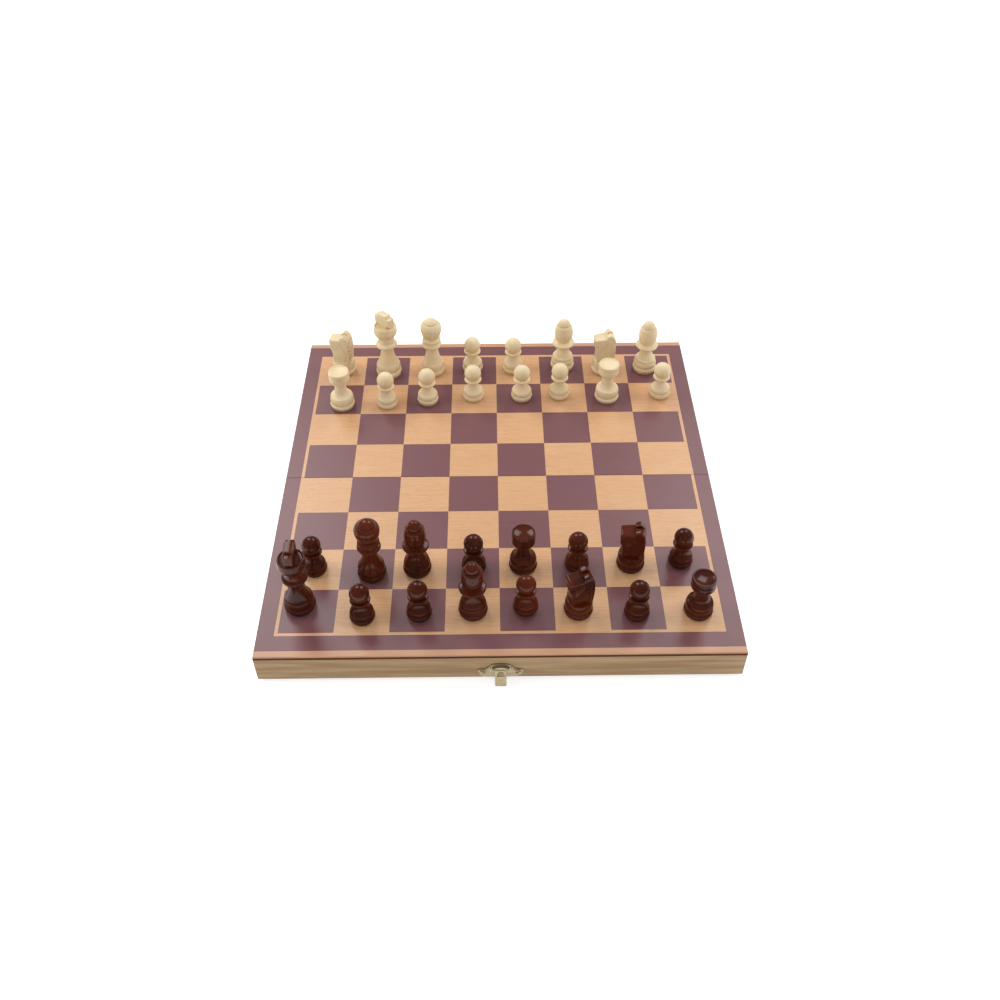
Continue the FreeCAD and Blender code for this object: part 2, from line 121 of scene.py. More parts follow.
bishop_shares = [
    (0, 0), (0.94, 0), (1, 0.035, 0.95, 0.07), (0.89, 0.08), (0.94, 0.13, 0.88, 0.18), (0.83, 0.187),
    (0.85, 0.214, 0.79, 0.24), (0.74, 0.248), (0.54, 0.33, 0.45, 0.46), (0.84, 0.485),
    (0.93, 0.51, 0.84, 0.535), (0.56, 0.55), (0.6, 0.575), (0.77, 0.69, 0.72, 0.81),
    (0.67, 0.858, 0.57, 0.886), (0.48, 0.88), (0.52, 0.902), (1,),
]
rook_shares = [
    (0, 0), (0.94, 0), (1, 0.04, 0.95, 0.08), (0.89, 0.09), (0.95, 0.19, 0.88, 0.29), (0.82, 0.3),
    (0.62, 0.345, 0.5, 0.43), (0.45, 0.6), (0.54, 0.625), (0.57, 0.645, 0.54, 0.665), (0.5, 0.685),
    (0.8, 0.735), (0.835, 0.76), (0.835, 0.862), (0.8, 0.872), (0.835, 0.882),
    (0.835, 0.97), (0.8, 1), (0.71, 1), (0.67, 0.985), (0.955,),
]
pawn_shares = [
    (0, 0), (0.94, 0), (1, 0.05, 0.95, 0.1), (0.88, 0.11), (0.94, 0.175, 0.87, 0.24), (0.82, 0.25),
    (0.62, 0.32, 0.48, 0.42), (0.44, 0.54), (0.72, 0.555), (0.8, 0.58, 0.72, 0.605), (0.54, 0.615),
    (1,),
]
knight_foot_shares = [
    (0, 0), (0.94, 0), (1, 0.04, 0.95, 0.08), (0.89, 0.09), (0.95, 0.19, 0.85, 0.31), (0, 0.31),
]
horse_shares = [
    (-0.74, 0.27), (-0.86, 0.58, -0.8, 0.86), (-0.7, 0.93), (-0.4, 1), (-0.12, 0.97), (0, 0.9),
    (0.76, 0.88), (0.86, 0.87, 0.88, 0.82), (0.88, 0.68), (0.84, 0.63), (0.74, 0.6),
    (0.69, 0.46, 0.72, 0.34), (0.74, 0.27), (-0.74, 0.27),
]
cross_shares = [
    (0, 0), (0.52, 0), (0.6, 0.26), (1, 0.2), (1, 0.8), (0.6, 0.82), (0.54, 1), (-0.54, 1),
    (-0.6, 0.82), (-1, 0.8), (-1, 0.2), (-0.6, 0.26), (-0.52, 0), (0, 0),
]

# The king's cross and the knight's carving: places along the horse's head in shares of the base radius,
# heights in shares of the wood
cross_width = 14.0 * mm
cross_thickness = 5.4 * mm
cross_height = 10.6 * mm
cross_edge = 0.5 * mm
horse_thickness = 10.4 * mm
horse_edge = 0.9 * mm
ear_notch_depth = 2.6 * mm
muzzle_taper = 0.16
horse_reach = 7.6 * mm
carving_depth = 0.5 * mm
mouth_shares = (0.84, 0.72)
mouth_length_share = 0.5
mouth_width = 0.6 * mm
mouth_tilt = math.radians(-12)
eye_shares = (0.2, 0.8)
eye_radius = 0.8 * mm
eye_depth = 0.4 * mm
nostril_shares = (0.7, 0.79)
nostril_radius = 0.55 * mm
nostril_depth = 0.3 * mm
jaw_centre_shares = (0.62, 0.8)
jaw_radius_share = 0.72
jaw_start = math.radians(95)
jaw_sweep = math.radians(85)
mane_centre_shares = (0.75, 0.5)
mane_radius_share = 1.25
mane_start = math.radians(150)
mane_sweep = math.radians(75)
lock_heights_shares = (0.46, 0.56, 0.66, 0.76, 0.86)
lock_place_share = -0.82
lock_length_share = 0.24
lock_width = 0.7 * mm
lock_tilt = math.radians(25)

# Ridges pressed along the upper edge of the clasp's wings, in shares of the half width and the height
ridge_shares = [(0.9, 0.5), (0.66, 0.58, 0.46, 0.8)]
ridge_drops = (0.0 * mm, 1.3 * mm)
ridge_radius = 0.42 * mm
clasp_sheet = 0.7 * mm

# How the knights and the kings' crosses are turned about their axes, in degrees
man_turns = {
    "dark_king": 90, "light_king": 140,
    "dark_knight_1": 196, "dark_knight_2": 172, "light_knight_1": 168, "light_knight_2": 186,
}

# Lamps: place and size in metres, power in watts, and whether they shine back from varnish and brass
lamps = {
    "left_softbox": ((-0.62, 1.1, 1.4), (0.6, 0.8), 8.5, True),
    "right_softbox": ((0.66, 1.1, 1.4), (0.6, 0.8), 7.0, True),
    "left_window": ((-1.25, 0.2, 0.8), (1.0, 1.0), 11.5, False),
    "right_window": ((1.2, 0.3, 0.95), (0.9, 0.9), 9.0, False),
    "front_fill": ((0.3, -1.5, 1.1), (1.4, 1.4), 11.0, False),
}
sky_strength = 0.21
floor_half = 6.0
floor_gap = 0.2 * mm
paper_glow = 0.62


# Materials
def linear(hex_colour):
    """An sRGB hex colour as linear red, green, blue and alpha."""
    channels = [int(hex_colour[i:i + 2], 16) / 255 for i in (1, 3, 5)]
    return [c / 12.92 if c <= 0.04045 else ((c + 0.055) / 1.055) ** 2.4 for c in channels] + [1.0]


def add(tree, kind, links=None, **settings):
    """A new node with its settings, and its inputs set to values or linked to sockets."""
    node = tree.nodes.new(kind)
    for name, value in settings.items():
        setattr(node, name, value)
    for key, value in (links or {}).items():
        if isinstance(value, bpy.types.NodeSocket):
            tree.links.new(value, node.inputs[key])
        else:
            node.inputs[key].default_value = value
    return node


def repeats(*sizes):
    """A pattern's scale along X, Y and Z, from the real size of its marks in millimetres."""
    return [1 / (size * mm) for size in sizes]


def new_material(name):
    """An empty material with its tree, its shader and the object coordinates."""
    material = bpy.data.materials.new(name)
    material.use_nodes = True
    tree = material.node_tree
    tree.nodes.clear()
    shader = add(tree, "ShaderNodeBsdfPrincipled")
    add(tree, "ShaderNodeOutputMaterial", {"Surface": shader.outputs[0]})
    place = add(tree, "ShaderNodeTexCoord").outputs["Object"]
    return material, tree, shader, place


def printed_veneer():
    """Beech veneer with a matt mauve-brown screen print and a satin varnish: fine flecked grain
    along the board in the bare squares, an even film of ink in the dark ones."""
    material, tree, shader, place = new_material("printed_beech_veneer")
    shader.inputs["IOR"].default_value = 1.5
    stretched = add(tree, "ShaderNodeMapping", {"Vector": place, "Scale": repeats(14, 0.53, 3.3)})
    grain = add(tree, "ShaderNodeTexNoise", {
        "Vector": stretched.outputs[0], "Scale": 1.0, "Detail": 6.0, "Roughness": 0.65})
    flecks_map = add(tree, "ShaderNodeMapping", {"Vector": place, "Scale": repeats(3, 0.28, 3.3)})
    flecks = add(tree, "ShaderNodeTexNoise", {
        "Vector": flecks_map.outputs[0], "Scale": 1.0, "Detail": 2.0, "Roughness": 0.5})
    broad_map = add(tree, "ShaderNodeMapping", {"Vector": place, "Scale": repeats(110, 11, 33)})
    broad = add(tree, "ShaderNodeTexNoise", {
        "Vector": broad_map.outputs[0], "Scale": 1.0, "Detail": 3.0, "Distortion": 0.6})
    bare = add(tree, "ShaderNodeValToRGB", {"Fac": grain.outputs["Fac"]})
    bare.color_ramp.elements[0].position = 0.3
    bare.color_ramp.elements[0].color = linear("#cf9a6e")
    bare.color_ramp.elements[1].position = 0.68
    bare.color_ramp.elements[1].color = linear("#dfb387")
    fleck_mask = add(tree, "ShaderNodeMapRange", {
        "Value": flecks.outputs["Fac"], "From Min": 0.58, "From Max": 0.72, "To Max": 0.55})
    flecked = add(tree, "ShaderNodeMix", {
        "Factor": fleck_mask.outputs[0], "A": bare.outputs[0], "B": linear("#ae794f")},
        data_type="RGBA")
    tone = add(tree, "ShaderNodeMapRange", {
        "Value": broad.outputs["Fac"], "From Min": 0.3, "From Max": 0.7, "To Max": 0.22})
    beech = add(tree, "ShaderNodeMix", {
        "Factor": tone.outputs[0], "A": flecked.outputs["Result"], "B": linear("#cf996c")},
        data_type="RGBA")
    axes = add(tree, "ShaderNodeSeparateXYZ", {"Vector": place})
    along = add(tree, "ShaderNodeMath", {0: axes.outputs["Y"]}, operation="ABSOLUTE")
    printed = add(tree, "ShaderNodeMath", {
        0: along.outputs[0], 1: half_depth - end_strip}, operation="LESS_THAN")
    strip = add(tree, "ShaderNodeMix", {
        "Factor": grain.outputs["Fac"], "A": linear("#b98a68"), "B": linear("#d3a282")}, data_type="RGBA")
    bare_wood = add(tree, "ShaderNodeMix", {
        "Factor": printed.outputs[0], "A": strip.outputs["Result"], "B": beech.outputs["Result"]},
        data_type="RGBA")
    ink = add(tree, "ShaderNodeMix", {
        "Factor": grain.outputs["Fac"], "A": linear("#72474a"), "B": linear("#7e5356")},
        data_type="RGBA")

    # Where the ink lies: the checks inside the field, then the border up to the bare end strips
    across = add(tree, "ShaderNodeMath", {0: axes.outputs["X"]}, operation="ABSOLUTE")
    reach = add(tree, "ShaderNodeMath", {0: across.outputs[0], 1: along.outputs[0]}, operation="MAXIMUM")
    inside = add(tree, "ShaderNodeMath", {0: reach.outputs[0], 1: field_half}, operation="LESS_THAN")
    border = add(tree, "ShaderNodeMath", {
        0: reach.outputs[0], 1: field_half + line_width}, operation="GREATER_THAN")
    border_ink = add(tree, "ShaderNodeMath", {
        0: border.outputs[0], 1: printed.outputs[0]}, operation="MULTIPLY")
    checks = add(tree, "ShaderNodeTexChecker", {
        "Vector": place, "Color1": (0, 0, 0, 1), "Color2": (1, 1, 1, 1), "Scale": 1 / square_size})
    check_ink = add(tree, "ShaderNodeMath", {
        0: checks.outputs["Color"], 1: inside.outputs[0]}, operation="MULTIPLY")
    ink_mask = add(tree, "ShaderNodeMath", {
        0: check_ink.outputs[0], 1: border_ink.outputs[0]}, operation="MAXIMUM")
    top = add(tree, "ShaderNodeMix", {
        "Factor": ink_mask.outputs[0], "A": bare_wood.outputs["Result"], "B": ink.outputs["Result"]},
        data_type="RGBA")

    # The cut edge of the board shows dark fibre under the veneer, without varnish; its brown is the fibre's
    # own colour, darkened further as painted shade along the edge
    edge = add(tree, "ShaderNodeMath", {
        0: axes.outputs["Z"], 1: panel_top - veneer_edge}, operation="LESS_THAN")
    fibre_with_painted_shade = add(tree, "ShaderNodeMix", {
        "Factor": grain.outputs["Fac"], "A": linear("#4a2713"), "B": linear("#6a3d20")},
        data_type="RGBA")
    colour = add(tree, "ShaderNodeMix", {
        "Factor": edge.outputs[0], "A": top.outputs["Result"], "B": fibre_with_painted_shade.outputs["Result"]},
        data_type="RGBA")
    tree.links.new(colour.outputs["Result"], shader.inputs["Base Color"])
    varnish = add(tree, "ShaderNodeMapRange", {
        "Value": edge.outputs[0], "To Min": 0.5, "To Max": 0.05})
    tree.links.new(varnish.outputs[0], shader.inputs["Specular IOR Level"])
    gloss = add(tree, "ShaderNodeMapRange", {
        "Value": grain.outputs["Fac"], "To Min": 0.28, "To Max": 0.38})
    tree.links.new(gloss.outputs[0], shader.inputs["Roughness"])
    bump = add(tree, "ShaderNodeBump", {
        "Strength": 0.12, "Distance": 0.05 * mm, "Height": grain.outputs["Fac"]})
    tree.links.new(bump.outputs[0], shader.inputs["Normal"])
    return material


def plain_wood(name, pale, dark, lines_size, gloss, strength):
    """Sawn softwood with long growth lines, of the given size in millimetres, and finer pores."""
    material, tree, shader, place = new_material(name)
    shader.inputs["IOR"].default_value = 1.5
    stretched = add(tree, "ShaderNodeMapping", {"Vector": place, "Scale": repeats(*lines_size)})
    lines = add(tree, "ShaderNodeTexNoise", {
        "Vector": stretched.outputs[0], "Scale": 1.0, "Detail": 4.0, "Roughness": 0.55, "Distortion": 0.35})
    pore_size = [size / 5 for size in lines_size]
    fine_map = add(tree, "ShaderNodeMapping", {"Vector": place, "Scale": repeats(*pore_size)})
    fine = add(tree, "ShaderNodeTexNoise", {
        "Vector": fine_map.outputs[0], "Scale": 1.0, "Detail": 3.0})
    tone = add(tree, "ShaderNodeValToRGB", {"Fac": lines.outputs["Fac"]})
    tone.color_ramp.elements[0].position = 0.36
    tone.color_ramp.elements[0].color = linear(dark)
    tone.color_ramp.elements[1].position = 0.6
    tone.color_ramp.elements[1].color = linear(pale)
    pores = add(tree, "ShaderNodeMapRange", {
        "Value": fine.outputs["Fac"], "From Min": 0.45, "From Max": 0.75, "To Max": 0.3})
    colour = add(tree, "ShaderNodeMix", {
        "Factor": pores.outputs[0], "A": tone.outputs[0], "B": linear(dark)}, data_type="RGBA")
    tree.links.new(colour.outputs["Result"], shader.inputs["Base Color"])
    rough = add(tree, "ShaderNodeMapRange", {
        "Value": fine.outputs["Fac"], "To Min": gloss, "To Max": gloss + 0.15})
    tree.links.new(rough.outputs[0], shader.inputs["Roughness"])
    bump = add(tree, "ShaderNodeBump", {
        "Strength": strength, "Distance": 0.06 * mm, "Height": fine.outputs["Fac"]})
    tree.links.new(bump.outputs[0], shader.inputs["Normal"])
    return material


def turned_wood(name, pale, mid, dark, warm, rough_low, rough_high, specular, coat):
    """Turned hardwood under lacquer: grain stands upright in each man, with soft cloudy tone,
    and the blanks differ from man to man."""
    material, tree, shader, place = new_material(name)
    shader.inputs["IOR"].default_value = 1.5
    shader.inputs["Specular IOR Level"].default_value = specular
    shader.inputs["Coat Weight"].default_value = coat
    shader.inputs["Coat Roughness"].default_value = 0.13
    stretched = add(tree, "ShaderNodeMapping", {"Vector": place, "Scale": repeats(1.1, 1.1, 18)})
    grain = add(tree, "ShaderNodeTexNoise", {
        "Vector": stretched.outputs[0], "Scale": 1.0, "Detail": 5.0, "Roughness": 0.6, "Distortion": 0.4})
    cloud = add(tree, "ShaderNodeTexNoise", {"Vector": place, "Scale": repeats(11)[0], "Detail": 2.0})
    tone = add(tree, "ShaderNodeValToRGB", {"Fac": grain.outputs["Fac"]})
    tone.color_ramp.elements[0].position = 0.32
    tone.color_ramp.elements[0].color = linear(dark)
    tone.color_ramp.elements[1].position = 0.7
    tone.color_ramp.elements[1].color = linear(mid)
    patch = add(tree, "ShaderNodeMapRange", {
        "Value": cloud.outputs["Fac"], "From Min": 0.4, "From Max": 0.7, "To Max": 0.55})
    colour = add(tree, "ShaderNodeMix", {
        "Factor": patch.outputs[0], "A": tone.outputs[0], "B": linear(pale)}, data_type="RGBA")
    blank = add(tree, "ShaderNodeTexNoise", {"Vector": place, "Scale": repeats(48)[0], "Detail": 0.0})
    ruddy = add(tree, "ShaderNodeMapRange", {
        "Value": blank.outputs["Fac"], "From Min": 0.5, "From Max": 0.72, "To Max": 0.5})
    varied = add(tree, "ShaderNodeMix", {
        "Factor": ruddy.outputs[0], "A": colour.outputs["Result"], "B": linear(warm)}, data_type="RGBA")
    tree.links.new(varied.outputs["Result"], shader.inputs["Base Color"])
    rough = add(tree, "ShaderNodeMapRange", {
        "Value": grain.outputs["Fac"], "To Min": rough_low, "To Max": rough_high})
    tree.links.new(rough.outputs[0], shader.inputs["Roughness"])
    bump = add(tree, "ShaderNodeBump", {
        "Strength": 0.06, "Distance": 0.05 * mm, "Height": grain.outputs["Fac"]})
    tree.links.new(bump.outputs[0], shader.inputs["Normal"])
    return material


def bright_brass():
    """Thin brass-plated pressings: pale gold, softly tumbled to a satin, with a faint cloudy film."""
    material, tree, shader, place = new_material("bright_brass_plate")
    shader.inputs["Metallic"].default_value = 1.0
    film = add(tree, "ShaderNodeTexNoise", {"Vector": place, "Scale": repeats(2.4)[0], "Detail": 4.0})
    colour = add(tree, "ShaderNodeMix", {
        "Factor": film.outputs["Fac"], "A": linear("#8a7a5c"), "B": linear("#cfbf9c")}, data_type="RGBA")
    tree.links.new(colour.outputs["Result"], shader.inputs["Base Color"])
    rough = add(tree, "ShaderNodeMapRange", {
        "Value": film.outputs["Fac"], "To Min": 0.28, "To Max": 0.4})
    tree.links.new(rough.outputs[0], shader.inputs["Roughness"])
    grit = add(tree, "ShaderNodeTexNoise", {"Vector": place, "Scale": repeats(0.38)[0], "Detail": 2.0})
    bump = add(tree, "ShaderNodeBump", {
        "Strength": 0.08, "Distance": 0.03 * mm, "Height": grit.outputs["Fac"]})
    tree.links.new(bump.outputs[0], shader.inputs["Normal"])
    return material


def rolled_steel():
    """Cold-rolled steel sheet: grey, with a fine rolling direction along the board."""
    material, tree, shader, place = new_material("cold_rolled_steel")
    shader.inputs["Metallic"].default_value = 1.0
    rolled = add(tree, "ShaderNodeMapping", {"Vector": place, "Scale": repeats(25, 0.42, 3.3)})
    lines = add(tree, "ShaderNodeTexNoise", {"Vector": rolled.outputs[0], "Scale": 1.0, "Detail": 3.0})
    colour = add(tree, "ShaderNodeMix", {
        "Factor": lines.outputs["Fac"], "A": linear("#7d7f81"), "B": linear("#a5a7a8")}, data_type="RGBA")
    tree.links.new(colour.outputs["Result"], shader.inputs["Base Color"])
    rough = add(tree, "ShaderNodeMapRange", {
        "Value": lines.outputs["Fac"], "To Min": 0.35, "To Max": 0.5})
    tree.links.new(rough.outputs[0], shader.inputs["Roughness"])
    return material


def wool_felt(name, dark, pale, middle):
    """Pressed wool felt: matt, with short fibres that are drawn coarser than real so that they show."""
    material, tree, shader, place = new_material(name)
    shader.inputs["Roughness"].default_value = 0.95
    shader.inputs["Sheen Weight"].default_value = 0.35
    shader.inputs["Sheen Roughness"].default_value = 0.5
    fibres = add(tree, "ShaderNodeTexNoise", {
        "Vector": place, "Scale": repeats(0.45)[0], "Detail": 5.0, "Roughness": 0.7, "Distortion": 1.2})
    clumps = add(tree, "ShaderNodeTexNoise", {"Vector": place, "Scale": repeats(3.8)[0], "Detail": 3.0})
    shade = add(tree, "ShaderNodeMix", {
        "Factor": fibres.outputs["Fac"], "A": linear(dark), "B": linear(pale)}, data_type="RGBA")
    tone = add(tree, "ShaderNodeMapRange", {
        "Value": clumps.outputs["Fac"], "From Min": 0.35, "From Max": 0.7, "To Max": 0.5})
    colour = add(tree, "ShaderNodeMix", {
        "Factor": tone.outputs[0], "A": shade.outputs["Result"], "B": linear(middle)}, data_type="RGBA")
    tree.links.new(colour.outputs["Result"], shader.inputs["Base Color"])
    bump = add(tree, "ShaderNodeBump", {
        "Strength": 0.6, "Distance": 0.15 * mm, "Height": fibres.outputs["Fac"]})
    tree.links.new(bump.outputs[0], shader.inputs["Normal"])
    return material


veneer = printed_veneer()
pine_across = plain_wood("pine_across", "#bea078", "#a27e55", (71, 1.4, 3.8), 0.45, 0.15)
pine_along = plain_wood("pine_along", "#bea078", "#a27e55", (1.4, 71, 3.8), 0.45, 0.15)
bare_lime = plain_wood("bare_lime", "#dcc49c", "#c5a679", (3, 3, 11), 0.6, 0.2)
dark_lacquer = turned_wood(
    "dark_lacquered_hardwood", "#5e250c", "#4c1909", "#2c0c04", "#6a2a10", 0.35, 0.5, 0.06, 0.5)
pale_lacquer = turned_wood(
    "pale_satin_hardwood", "#f3e2c1", "#eed9b2", "#e4cda0", "#ecd4aa", 0.42, 0.55, 0.4, 0.1)
brass = bright_brass()
steel = rolled_steel()
lining_felt = wool_felt("pressed_green_felt", "#16301f", "#2f6142", "#24523a")
pale_felt = wool_felt("pressed_natural_felt", "#a08a63", "#d6c4a0", "#bda880")
dark_felt = wool_felt("pressed_brown_felt", "#1d0f09", "#402619", "#2e1a10")


# Making pieces
def piece(bm, name, body, material, smooth_angle=None):
    """A mesh object from a bmesh, riding on a body, with its finish."""
    mesh = bpy.data.meshes.new(name)
    bm.to_mesh(mesh)
    bm.free()
    if smooth_angle is not None:
        mesh.shade_smooth()
        mesh.set_sharp_from_angle(angle=smooth_angle)
    made = bpy.data.objects.new(name, mesh)
    bpy.context.scene.collection.objects.link(made)
    mesh.materials.append(material)
    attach(made, body)
    return made


def softened(node, body, material, edge):
    """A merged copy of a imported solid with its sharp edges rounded, standing for that solid."""
    bm = bmesh.new()
    bm.from_mesh(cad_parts[node].data)
    bmesh.ops.remove_doubles(bm, verts=bm.verts, dist=packed_weld)
    bmesh.ops.dissolve_limit(bm, angle_limit=flat_angle, verts=bm.verts, edges=bm.edges)
    made = piece(bm, node + "_dressed", body, material, packed_smooth)
    rounded = made.modifiers.new("rounded_edges", "BEVEL")
    rounded.width = edge
    rounded.segments = rounded_steps
    rounded.limit_method = "ANGLE"
    rounded.angle_limit = rounded_angle
    rounded.use_clamp_overlap = True
    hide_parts(node)
    return made


def arc_points(start, middle, end):
    """Points after the start on the circle through three points of a profile."""
    def turn(a, b, c):
        return (b[0] - a[0]) * (c[1] - a[1]) - (b[1] - a[1]) * (c[0] - a[0])

    (ax, az), (bx, bz), (cx, cz) = start, middle, end
    double_area = 2 * turn(start, middle, end)
    a_square, b_square, c_square = ax * ax + az * az, bx * bx + bz * bz, cx * cx + cz * cz
    centre_x = (a_square * (bz - cz) + b_square * (cz - az) + c_square * (az - bz)) / double_area
    centre_z = (a_square * (cx - bx) + b_square * (ax - cx) + c_square * (bx - ax)) / double_area
    radius = math.hypot(ax - centre_x, az - centre_z)
    first = math.atan2(az - centre_z, ax - centre_x)
    last = math.atan2(cz - centre_z, cx - centre_x)
    full = 2 * math.pi
    sweep = (last - first) % full
    if double_area < 0:
        sweep -= full
    return [
        (centre_x + radius * math.cos(first + sweep * i / arc_steps),
         centre_z + radius * math.sin(first + sweep * i / arc_steps))
        for i in range(1, arc_steps + 1)
    ]


def dome_points(start, top):
    """Points after the start on a dome or a dish centred on the axis."""
    rise = top - start[1]
    centre = top - (start[0] ** 2 + rise ** 2) / (2 * rise)
    side = math.copysign(1, rise)
    angle = math.atan2(start[0], side * (start[1] - centre))
    radius = abs(top - centre)
    steps = 2 * arc_steps
    angles = [angle * (1 - i / steps) for i in range(1, steps + 1)]
    return [(radius * math.sin(a), centre + side * radius * math.cos(a)) for a in angles]


def outline(shares, width, height):
    """The points of a profile or an outline, and those of them that are its corners."""
    points = [(shares[0][0] * width, shares[0][1] * height)]
    corners = []
    for step in shares[1:]:
        corners.append(len(points) - 1)
        if len(step) == 1:
            points += dome_points(points[-1], step[0] * height)
        elif len(step) == 4:
            middle = (step[0] * width, step[1] * height)
            points += arc_points(points[-1], middle, (step[2] * width, step[3] * height))
        else:
            points.append((step[0] * width, step[1] * height))
    return points, corners[1:]


def wire(bm, shares, width, height, edge):
    """A profile as a chain of edges in the XZ plane, with its corners eased."""
    points, corners = outline(shares, width, height)
    chain = [bm.verts.new((x, 0, z)) for x, z in points]
    for a, b in zip(chain, chain[1:]):
        bm.edges.new((a, b))
    bm.verts.ensure_lookup_table()
    sharp = [chain[i] for i in corners if chain[i].co.x > edge]
    bmesh.ops.bevel(bm, geom=sharp, offset=edge, offset_type="OFFSET", affect="VERTICES",
                    segments=eased_steps, profile=0.5, material=-1, clamp_overlap=True)


def lathe(shares, base, height):
    """A closed turned body standing on its felt disc at the origin."""
    bm = bmesh.new()
    wire(bm, shares, base / 2, height - felt_disc, turned_edge)
    bmesh.ops.spin(bm, geom=bm.verts[:] + bm.edges[:], cent=(0, 0, 0), axis=(0, 0, 1), dvec=(0, 0, 0),
                   angle=2 * math.pi, steps=turning_steps, use_merge=True)
    bmesh.ops.remove_doubles(bm, verts=bm.verts, dist=turned_weld)
    bmesh.ops.recalc_face_normals(bm, faces=bm.faces)
    bmesh.ops.translate(bm, verts=bm.verts, vec=(0, 0, felt_disc))
    return bm


def slab(shares, width, height, thickness, edge):
    """A flat outline cut from a board and eased along its edges, centred on the origin's plane."""
    bm = bmesh.new()
    points, _ = outline(shares, width, height)
    ring = [bm.verts.new((x, -thickness / 2, z)) for x, z in points[:-1]]
    face = bm.faces.new(ring)
    side = bmesh.ops.extrude_face_region(bm, geom=[face])
    moved = [v for v in side["geom"] if isinstance(v, bmesh.types.BMVert)]
    bmesh.ops.translate(bm, verts=moved, vec=(0, thickness, 0))
    bmesh.ops.recalc_face_normals(bm, faces=bm.faces)
    rims = [e for e in bm.edges if abs(e.verts[0].co.y - e.verts[1].co.y) < thickness / 2]
    bmesh.ops.bevel(bm, geom=rims, offset=edge, offset_type="OFFSET", affect="EDGES",
                    segments=eased_steps, profile=0.5, material=-1, clamp_overlap=True)
    return bm


def joined(first, second):
    """The second bmesh added to the first."""
    spare = bpy.data.meshes.new("spare")
    second.to_mesh(spare)
    second.free()
    first.from_mesh(spare)
    bpy.data.meshes.remove(spare)
    return first


def carved(bm, cutter):
    """The first bmesh with the second cut out of it."""
    objects = []
    for made in (bm, cutter):
        mesh = bpy.data.meshes.new("blank")
        made.to_mesh(mesh)
        made.free()
        blank = bpy.data.objects.new("blank", mesh)
        bpy.context.scene.collection.objects.link(blank)
        objects.append(blank)
    cut = objects[0].modifiers.new("cut", "BOOLEAN")
    cut.operation = "DIFFERENCE"
    cut.solver = "EXACT"
    cut.object = objects[1]
    shown = objects[0].evaluated_get(bpy.context.evaluated_depsgraph_get())
    mesh = bpy.data.meshes.new_from_object(shown)
    result = bmesh.new()
    result.from_mesh(mesh)
    for blank in objects:
        bpy.data.objects.remove(blank)
    return result


def king_form(base, height):
    """A turned body with a plain cross standing in its dished crown."""
    bm = lathe(king_shares, base, height)
    cross = slab(cross_shares, cross_width / 2, cross_height, cross_thickness, cross_edge)
    bmesh.ops.translate(cross, verts=cross.verts, vec=(0, 0, height - cross_height))
    return joined(bm, cross)


def queen_form(base, height):
    return lathe(queen_shares, base, height)


def bishop_form(base, height):
    return lathe(bishop_shares, base, height)


def rook_form(base, height):
    return lathe(rook_shares, base, height)


def pawn_form(base, height):
    return lathe(pawn_shares, base, height)


def flank_groove(centre, radius, start, sweep):
    """A round groove that bends across the horse's flank, as a cutter for both sides."""
    bm = bmesh.new()
    for side in (-1, 1):
        ring = bmesh.ops.create_circle(bm, segments=groove_sides, radius=carving_depth)
        spot = Matrix.Translation((centre[0], side * horse_thickness / 2, centre[1]))
        arm = Matrix.Rotation(start, 4, "Y") @ Matrix.Translation((radius, 0, 0))
        bmesh.ops.transform(bm, matrix=spot @ arm, verts=ring["verts"])
        edges = list({e for v in ring["verts"] for e in v.link_edges})
        swept = bmesh.ops.spin(bm, geom=ring["verts"] + edges, cent=spot.translation, axis=(0, 1, 0),
                               dvec=(0, 0, 0), angle=sweep, steps=groove_steps)
        last = [e for e in swept["geom_last"] if isinstance(e, bmesh.types.BMEdge)]
        bmesh.ops.edgeloop_fill(bm, edges=edges)
        bmesh.ops.edgeloop_fill(bm, edges=last)
    bmesh.ops.recalc_face_normals(bm, faces=bm.faces)
    return bm


def slit(width, length, place, tilt):
    """A thin saw cut right through the horse from side to side."""
    bm = bmesh.new()
    bmesh.ops.create_cube(bm, size=1.0)
    bmesh.ops.scale(bm, verts=bm.verts, vec=(length, 2 * horse_thickness, width))
    bmesh.ops.rotate(bm, verts=bm.verts, cent=(0, 0, 0), matrix=Matrix.Rotation(tilt, 3, "Y"))
    bmesh.ops.translate(bm, verts=bm.verts, vec=(place[0], 0, place[1]))
    return bm


def side_dimples(radius, place, depth):
    """A pair of round drill marks, one on each flank."""
    bm = bmesh.new()
    for side in (-1, 1):
        ball = bmesh.ops.create_icosphere(bm, subdivisions=dimple_steps, radius=radius)
        out = side * (horse_thickness / 2 * horse_narrowing(place[0]) + radius - depth)
        bmesh.ops.translate(bm, verts=ball["verts"], vec=(place[0], out, place[1]))
    return bm


def horse_narrowing(x):
    """How thick the horse's head is at a distance before its axis, as a share of its full thickness."""
    return 1 - muzzle_taper * max(0, x / horse_reach)


